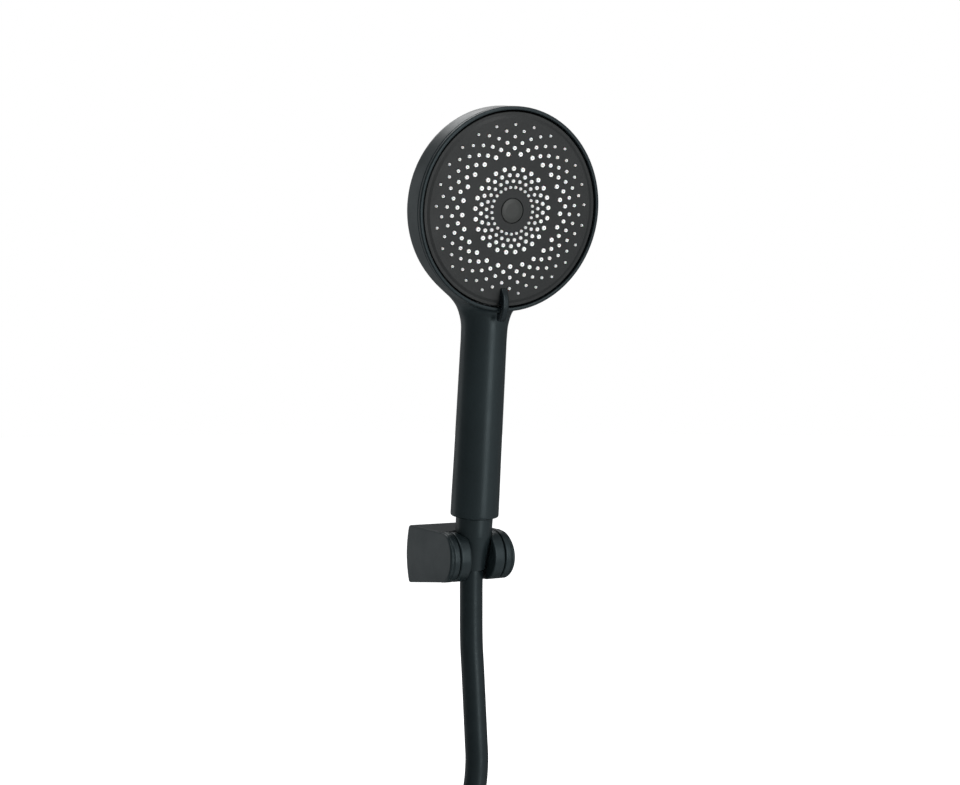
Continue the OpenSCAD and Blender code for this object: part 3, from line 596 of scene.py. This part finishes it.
def smooth_table(column):
    """A section column over height, read from a finely sampled smooth curve."""
    x, y = SECTIONS[:, 0], SECTIONS[:, column]
    slope = np.gradient(y, x)
    fine = np.linspace(x[0], x[-1], 1200)
    i = np.clip(np.searchsorted(x, fine) - 1, 0, len(x) - 2)
    w = x[i + 1] - x[i]
    t = (fine - x[i]) / w
    return fine, ((2 * t**3 - 3 * t**2 + 1) * y[i] + (t**3 - 2 * t**2 + t) * w * slope[i]
                  + (3 * t**2 - 2 * t**3) * y[i + 1] + (t**3 - t**2) * w * slope[i + 1])


TABLES = [smooth_table(c) for c in (1, 2, 3)]


def handle_field(p):
    """The handle and neck, from the sections."""
    half, front, back = (np.interp(p[:, 2], *t) for t in TABLES)
    deep, middle = (back - front) / 2, (back + front) / 2
    q = np.hypot(p[:, 0] / half, (p[:, 1] - middle) / deep)
    return (q - 1) * np.minimum(half, deep)


NECK_LOW, NECK_FILLET, GRIP_TOP, BORE_TOP, HOLLOW_LOW, HOLLOW_TOP = 150, 6, 214, 143, 140, 210
FACE_CLEARANCE = 4.0
DOME_RIM_R, DOME_RIM_DEPTH = 58.0, 21.6
DOME_RISE = HEAD_DEPTH - DOME_RIM_DEPTH
DOME_R = (DOME_RIM_R**2 + DOME_RISE**2) / (2 * DOME_RISE)


def shell_field(p):
    """Head and handle in one moulding, hollow, open at the face and at the lower end."""
    f = to_face(p)
    r = np.hypot(f[:, 0], f[:, 1])
    depth = f[:, 2]
    dome = np.sqrt(r**2 + (depth - HEAD_DEPTH + DOME_R) ** 2) - DOME_R
    head = cut_smoothly(cut_smoothly(r - HEAD_R, dome, 4.5), SHELL_FRONT - depth, 0.8)
    handle = handle_field(p)
    grip = cut_smoothly(cut_smoothly(handle, HANDLE_LOW - p[:, 2], 1.1), p[:, 2] - GRIP_TOP, 8)
    # Only the neck is kept behind the face; the handle below it is left whole
    behind_face = np.where(p[:, 2] > NECK_LOW, FACE_CLEARANCE - depth, -50.0)
    outside = join_smoothly(head, np.maximum(grip, behind_face), NECK_FILLET)
    hollow_head = cut_smoothly(r - RIM_IN_R, dome + SHELL_WALL, 3)
    hollow_neck = cut_smoothly(
        np.maximum(handle + SHELL_WALL, p[:, 2] - HOLLOW_TOP), HOLLOW_LOW - p[:, 2], 1)
    bore = np.maximum(np.hypot(p[:, 0], p[:, 1]) - HANDLE_BORE, p[:, 2] - BORE_TOP)
    inside = join_smoothly(join_smoothly(hollow_head, hollow_neck, 2), bore, 1)
    return cut_smoothly(outside, -inside, 0.7)


points, faces = surface(shell_field, (-63, -38, 24), (63, 19, 280), COARSE)
add_piece("handset_shell", points, faces, HANDSET, "black_abs", "handset", ["body_shell"])

# ---- Turned trims ---------------------------------------------------------

rim_profile = rounded([
    (RIM_IN_R, SHELL_FRONT - 0.02, 0.15), (RIM_IN_R, RIM_FRONT, 0.55), (HEAD_R, RIM_FRONT, 0.85),
    (HEAD_R, SHELL_FRONT - 0.02, 0.3),
], 6)
weld(add_piece("rim_trim", *lathe(rim_profile, 288), FACE, "trim_plastic", "handset", ["rim_ring"]))

CAP_R = 7.5
cap_profile = rounded([
    (0, 1.4, 0), (0, -0.45, 0), (4.5, -0.42, 4), (CAP_R - 0.3, -0.12, 0.5), (CAP_R - 0.3, 1.4, 0.1),
], 6)
weld(add_piece("cap", *lathe(cap_profile, 96), FACE, "black_abs", "spray_face", ["centre_cap"],
               "cap_plastic"))

INLET_R, NUT_FLANGE_R, SWING_R = 10.5, 9.5, 7.6
THREAD_LOW, FLANGE_LOW = 11.6, 9.5
nut_profile = rounded([
    (SWING_R, NUT_LOW, 0.5), (NUT_R_LOW, NUT_LOW, 0.6), (NUT_R_HIGH, NUT_TAPER_TOP, 2.0),
    (NUT_R_TOP, NUT_TOP, 0.6), (INLET_R, NUT_TOP, 0.4), (INLET_R, THREAD_LOW, 0.2),
    (NUT_FLANGE_R, THREAD_LOW, 0.2), (NUT_FLANGE_R, FLANGE_LOW, 0.2), (SWING_R, FLANGE_LOW, 0.2),
], 6)
weld(add_piece("hose_nut", *lathe(nut_profile, 128), HANDSET, "black_abs", "handset", ["cone_nut"]))

# ---- Nozzles --------------------------------------------------------------

PER_RING, PHASE, BORE = 25, 2.5, 0.42
RINGS = (13.8, 17.4, 21.0, 24.7, 33.2, 36.5, 39.8, 43.1, 46.5, 50.0)
PITCH = 360 / PER_RING
TIP_MAX, INNER_RINGS, INNER_STEP, OUTER_STEP = 1.5, 4, 0.167, 0.12
MAT_IN_R, MAT_OUT_R, MAT_FRONT, MAT_BACK = 9.0, 54.0, 3.02, 4.18


def tip_radius(i):
    """Nozzles grow towards the inner group's edge and shrink again towards the rim."""
    if i < INNER_RINGS:
        return TIP_MAX - INNER_STEP * (INNER_RINGS - 1 - i)
    return TIP_MAX - OUTER_STEP * (i - INNER_RINGS)


parts = [lathe(rounded([
    (MAT_IN_R, MAT_FRONT, 0.1), (MAT_IN_R, MAT_BACK, 0.1),
    (MAT_OUT_R, MAT_BACK, 0.1), (MAT_OUT_R, MAT_FRONT, 0.1)], 2), 96)]
for i, ring_r in enumerate(RINGS):
    tip = tip_radius(i)
    stem = lathe(rounded([
        (0, 3.6, 0), (tip, 3.6, 0), (tip - 0.1, 0.6, 0.3), (tip - 0.2, -0.42, 0.42),
        (BORE + 0.2, -0.5, 0.15), (BORE, -0.25, 0.15), (BORE * 0.9, 2.9, 0), (0, 3.0, 0)], 4), 20)
    for k in range(PER_RING):
        angle = PHASE - (PITCH / 2 if i % 2 else 0) + k * PITCH
        if i == len(RINGS) - 1 and abs(angle - 180) < PITCH / 3:
            continue  # The lever stands here
        at = math.radians(angle)
        shift = (ring_r * math.sin(at), -ring_r * math.cos(at), 0)
        parts.append((stem[0] + shift, stem[1]))
weld(add_piece("nozzles", *merge(parts), FACE, "silicone", "spray_face", ["nozzle_mat"]))

# ---- Mode lever -----------------------------------------------------------

LEVER_HALF, LEVER_IN, LEVER_OUT, LEVER_ROOT_OUT, LEVER_BACK = 2.1, 46.4, 66.4, 56.4, 1.8
CROWN_R, CROWN_AT, CROWN_DEPTH = 15, 57.5, 9.4


def lever_field(p):
    """A thin fin in the plane x = 0: +Y runs down the face and +Z into the head."""
    x, r, d = p[:, 0], p[:, 1], p[:, 2]
    crown = np.hypot(r - CROWN_AT, d - CROWN_DEPTH) - CROWN_R
    crown = cut_smoothly(crown, np.maximum(r - LEVER_OUT, LEVER_IN - r), 1.0)
    crown = cut_smoothly(crown, d - LEVER_BACK, 1.4)
    root = np.maximum.reduce([LEVER_IN - r, r - LEVER_ROOT_OUT, -0.6 - d, d - LEVER_BACK])
    outline = join_smoothly(crown, root, 0.5)
    clear = np.maximum(np.abs(r - 58.85) - 2.45, -1.1 - d)
    outline = cut_smoothly(outline, -clear, 0.4)
    return cut_smoothly(outline, np.abs(x) - LEVER_HALF, 1.1)


# The lever's material is darker than the trims' as painted shade.
points, faces = surface(lever_field, (-3, 44, -8), (3, 69, 3.4), FINE)
add_piece("lever", points, faces, FACE, "trim_plastic", "spray_face", ["mode_lever"],
          "lever_plastic_painted_shade")

# ---- Cradle ---------------------------------------------------------------

CONE_GAP = 0.1


def cradle_field(p):
    """The drum with its trunnions, its cone for the nut and the slot in front."""
    drum = cut_smoothly(np.hypot(p[:, 1], p[:, 2]) - DRUM_R, np.abs(p[:, 0]) - DRUM_HALF, 1.3)
    axle = cut_smoothly(np.hypot(p[:, 1], p[:, 2]) - TRUNNION_R,
                        np.abs(p[:, 0]) - DRUM_HALF - TRUNNION_LENGTH, 0.6)
    body = join_smoothly(drum, axle, 0.3)
    r = np.hypot(p[:, 0], p[:, 1])
    seat_r = np.interp(p[:, 2], [NUT_LOW - 0.01, NUT_LOW, NUT_TAPER_TOP, NUT_TAPER_TOP + 0.3],
                       [8.5, NUT_R_LOW + CONE_GAP, NUT_R_HIGH + CONE_GAP, 11.8])
    body = cut_smoothly(body, seat_r - r, 0.6)
    slot = np.maximum(np.abs(p[:, 0]) - SLOT_HALF, p[:, 1])
    return cut_smoothly(body, -slot, 0.9)


points, faces = surface(cradle_field, (-19.5, -17, -17), (19.5, 17, 17), MEDIUM)
add_piece("cradle_drum", points, faces, HANDSET, "black_abs", "cradle", ["cradle"])

# ---- Bracket base ---------------------------------------------------------

BULGE = (BASE_MID - BASE_EDGE) / 2
BARREL_R = ((BASE_H / 2) ** 2 + BULGE**2) / (2 * BULGE)
EAR_IN = 16.0
NUT_ROOM_R, NUT_ROOM_LOW = 12.5, 9
HOSE_ROOM, HOSE_ROOM_TOP = 20.6, -3
LINE_AT, LINE_HALF, LINE_DEPTH = 20.2, 0.2, 0.45
POCKET_DEPTH, POCKET_HALF_W, POCKET_HALF_H = 9, 17.05, 13.05
GRUB_Y, GRUB_R = -6.5, 1.52


def base_field(p):
    """The bracket between wall and drum: two ears, the rooms between them and the wall pocket."""
    x, y, z = np.abs(p[:, 0]), p[:, 1], p[:, 2]
    round_front = np.hypot(y - PIVOT_Y, z - PIVOT_Z) - DRUM_R
    fall = math.atan2(BASE_H / 2 - (DRUM_R - PIVOT_Z), -PIVOT_Y)
    under = -(z + BASE_H / 2) * math.cos(fall) - y * math.sin(fall)
    block = np.maximum.reduce([z - (PIVOT_Z + DRUM_R), under, PIVOT_Y - y])
    form = join_smoothly(block, round_front, 0.8)
    barrel = np.hypot(x + BARREL_R - BASE_MID / 2, z) - BARREL_R
    body = cut_smoothly(cut_smoothly(form, barrel, 1.6), y, 0.5)
    from_pivot = np.hypot(y - PIVOT_Y, z - PIVOT_Z)
    drum_room = np.maximum(from_pivot - DRUM_R - DRUM_GAP, x - EAR_IN)
    mouth = np.maximum(y - PIVOT_Y, x - EAR_IN)
    nut_room = np.maximum(np.hypot(x, y - PIVOT_Y) - NUT_ROOM_R, PIVOT_Z + NUT_ROOM_LOW - z)
    hose_room = np.maximum.reduce([x - SLOT_HALF - DRUM_GAP, y - PIVOT_Y - HOSE_ROOM,
                                   z - HOSE_ROOM_TOP])
    ear_line = np.maximum.reduce([np.abs(x - LINE_AT) - LINE_HALF,
                                  DRUM_R - LINE_DEPTH - from_pivot, y - PIVOT_Y - 4])
    space = np.minimum.reduce([drum_room, mouth, nut_room, hose_room, ear_line])
    body = cut_smoothly(body, -space, 0.7)
    socket = np.maximum(from_pivot - TRUNNION_R - 0.05, x - EAR_IN - TRUNNION_LENGTH)
    pocket = np.maximum.reduce([x - POCKET_HALF_W, -POCKET_DEPTH - y, np.abs(z) - POCKET_HALF_H])
    grub = np.maximum(np.hypot(x, y - GRUB_Y) - GRUB_R, z)
    return cut_smoothly(body, -np.minimum.reduce([socket, pocket, grub]), 0.3)


points, faces = surface(base_field, (-24, -67.5, -21), (24, 1.6, 21), MEDIUM)
add_piece("bracket_body", points, faces, WORLD, "black_abs", "bracket", ["bracket_base"])

# ---- CAD parts that stay --------------------------------------------------

slot_of = {part["node"]: part["material_slot"] for part in frame["record"]["subparts"]}
for name, node in frame["nodes"].items():
    node.data.materials.clear()
    node.data.materials.append(MATERIALS[slot_of[name]])

# ---- Floor, world and lights ----------------------------------------------

FLOOR_GAP, FLOOR_R = 0.012, 14
floor_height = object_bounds()[0].z - FLOOR_GAP
bpy.ops.mesh.primitive_circle_add(vertices=96, radius=FLOOR_R, fill_type="NGON",
                                  location=(0, 0, floor_height))
floor = bpy.context.object
floor.name = "floor"
white = Shader("floor_white")
floor_colour = white.mix(white.noise(1.5, 3), (0.90, 0.90, 0.90, 1), (0.93, 0.93, 0.93, 1))
floor.data.materials.append(white.finish(
    Base_Color=floor_colour, Roughness=0.9, Specular_IOR_Level=0.1,
    Emission_Color=(1, 1, 1, 1), Emission_Strength=0.88))
floor.visible_glossy = False

# Brightness of the room by bearing in degrees from +X towards +Y; the first two are the ramp's ends
ROOM_LIGHT = [(-180, 0.16), (180, 0.16), (-118, 0.36), (-88, 0.55), (-66, 0.82), (-42, 0.80),
              (-12, 0.36), (30, 0.13), (62, 0.09), (100, 0.34), (124, 0.40), (146, 0.22)]
world = bpy.data.worlds.new("studio")
scene.world = world
world.use_nodes = True
tree = world.node_tree
tree.nodes.clear()
output = tree.nodes.new("ShaderNodeOutputWorld")
pick = tree.nodes.new("ShaderNodeMixShader")
path = tree.nodes.new("ShaderNodeLightPath")
seen = tree.nodes.new("ShaderNodeBackground")
seen.inputs["Color"].default_value = (1, 1, 1, 1)
seen.inputs["Strength"].default_value = 1.0
room = tree.nodes.new("ShaderNodeBackground")
room.inputs["Strength"].default_value = 1.0
coord = tree.nodes.new("ShaderNodeTexCoord")
split = tree.nodes.new("ShaderNodeSeparateXYZ")
bearing = tree.nodes.new("ShaderNodeMath")
bearing.operation = "ARCTAN2"
remap = tree.nodes.new("ShaderNodeMapRange")
remap.inputs["From Min"].default_value = -math.pi
remap.inputs["From Max"].default_value = math.pi
ramp = tree.nodes.new("ShaderNodeValToRGB")
for stop, (degrees, level) in enumerate(ROOM_LIGHT):
    elements = ramp.color_ramp.elements
    element = elements[stop] if stop < 2 else elements.new((degrees + 180) / 360)
    element.color = (0.97 * level, level, 1.02 * level, 1)
tree.links.new(coord.outputs["Generated"], split.inputs[0])
tree.links.new(split.outputs["Y"], bearing.inputs[0])
tree.links.new(split.outputs["X"], bearing.inputs[1])
tree.links.new(bearing.outputs[0], remap.inputs["Value"])
tree.links.new(remap.outputs[0], ramp.inputs["Fac"])
tree.links.new(ramp.outputs["Color"], room.inputs["Color"])
tree.links.new(path.outputs["Is Camera Ray"], pick.inputs[0])
tree.links.new(room.outputs[0], pick.inputs[1])
tree.links.new(seen.outputs[0], pick.inputs[2])
tree.links.new(pick.outputs[0], output.inputs["Surface"])


def softbox(name, at, aim, width, height, watts):
    """A rectangular area light that faces a point."""
    light = bpy.data.lights.new(name, "AREA")
    light.shape = "RECTANGLE"
    light.size, light.size_y = width, height
    light.energy = watts
    box = bpy.data.objects.new(name, light)
    box.location = at
    box.rotation_mode = "QUATERNION"
    box.rotation_quaternion = (Vector(aim) - Vector(at)).to_track_quat("-Z", "Y")
    scene.collection.objects.link(box)


AIM = (0, -0.05, 0.1)
softbox("key", (0.45, -1.75, 0.35), AIM, 0.6, 1.9, 13.5)
softbox("top", (-0.4, -0.5, 1.9), AIM, 1.6, 1.2, 11)
softbox("left", (-1.25, 1.75, 0.4), AIM, 0.8, 1.8, 1.6)
softbox("back", (0.5, 1.4, 1.6), AIM, 1.2, 1.0, 7)

scene.view_settings.view_transform = "Standard"
